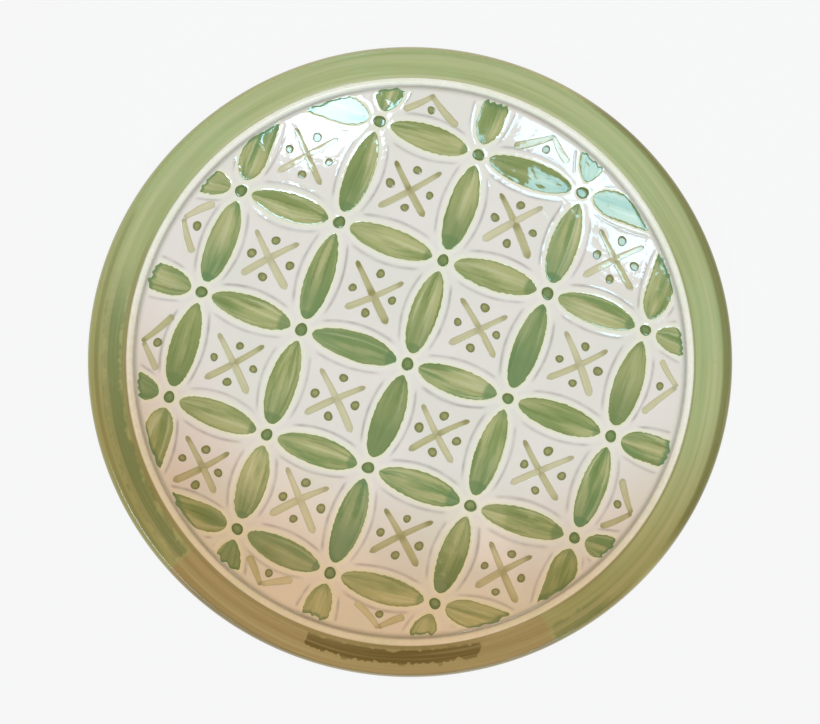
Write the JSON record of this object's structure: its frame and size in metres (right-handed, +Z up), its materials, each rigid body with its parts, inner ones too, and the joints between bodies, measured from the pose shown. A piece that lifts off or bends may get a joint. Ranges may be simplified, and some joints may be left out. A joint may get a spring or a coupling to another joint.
{
  "type": "hand painted ceramic plate",
  "caption": "Deep round serving plate on a foot ring, with a green glazed rim and a relief painted lattice of green petals in its white well.",
  "frame": {"origin": "centre of the foot ring's underside, on the surface the plate stands on", "axes": "+Z up out of the well; +X along the plate's longest direction; +Y towards the top of the painted pattern"},
  "size_m": [0.3, 0.2934, 0.0499],
  "materials": {
    "fired_clay": "matt fired buff clay",
    "bare_foot": "matt unglazed clay, rubbed smooth on its resting face",
    "white_glaze": "glossy pinkish white glaze with a soft relief",
    "slip_bead": "glossy cream slip under clear glaze",
    "rim_green": "glossy green glaze with brush streaks round the rim",
    "petal_green": "glossy green glaze pooled thick, streaked along each petal",
    "back_cream": "glossy cream glaze with turning marks"
  },
  "bodies": {
    "root": {"clay_body": "fired_clay", "foot_ring": "bare_foot", "well_glaze": "white_glaze", "slip_bead": "slip_bead", "rim_glaze": "rim_green", "back_glaze": "back_cream", "base_glaze": "back_cream", "petal_level_01": "petal_green", "petal_level_02": "petal_green", "petal_level_03": "petal_green", "petal_level_04": "petal_green", "petal_level_05": "petal_green", "petal_level_06": "petal_green", "petal_level_07": "petal_green", "petal_level_08": "petal_green", "petal_level_09": "petal_green", "petal_level_10": "petal_green", "petal_level_11": "petal_green", "petal_level_12": "petal_green", "petal_level_13": "petal_green", "petal_level_14": "petal_green", "petal_level_15": "petal_green", "petal_level_16": "petal_green", "petal_level_17": "petal_green", "petal_level_18": "petal_green", "petal_level_19": "petal_green", "petal_level_20": "petal_green", "petal_level_21": "petal_green", "petal_level_22": "petal_green", "petal_level_23": "petal_green", "petal_level_24": "petal_green", "petal_level_25": "petal_green", "petal_level_26": "petal_green", "petal_upright_01": "petal_green", "petal_upright_02": "petal_green", "petal_upright_03": "petal_green", "petal_upright_04": "petal_green", "petal_upright_05": "petal_green", "petal_upright_06": "petal_green", "petal_upright_07": "petal_green", "petal_upright_08": "petal_green", "petal_upright_09": "petal_green", "petal_upright_10": "petal_green", "petal_upright_11": "petal_green", "petal_upright_12": "petal_green", "petal_upright_13": "petal_green", "petal_upright_14": "petal_green", "petal_upright_15": "petal_green", "petal_upright_16": "petal_green", "petal_upright_17": "petal_green", "petal_upright_18": "petal_green", "petal_upright_19": "petal_green", "petal_upright_20": "petal_green", "petal_upright_21": "petal_green", "petal_upright_22": "petal_green", "petal_upright_23": "petal_green", "petal_upright_24": "petal_green", "petal_upright_25": "petal_green", "petal_upright_26": "petal_green"}
  },
  "joints": []
}
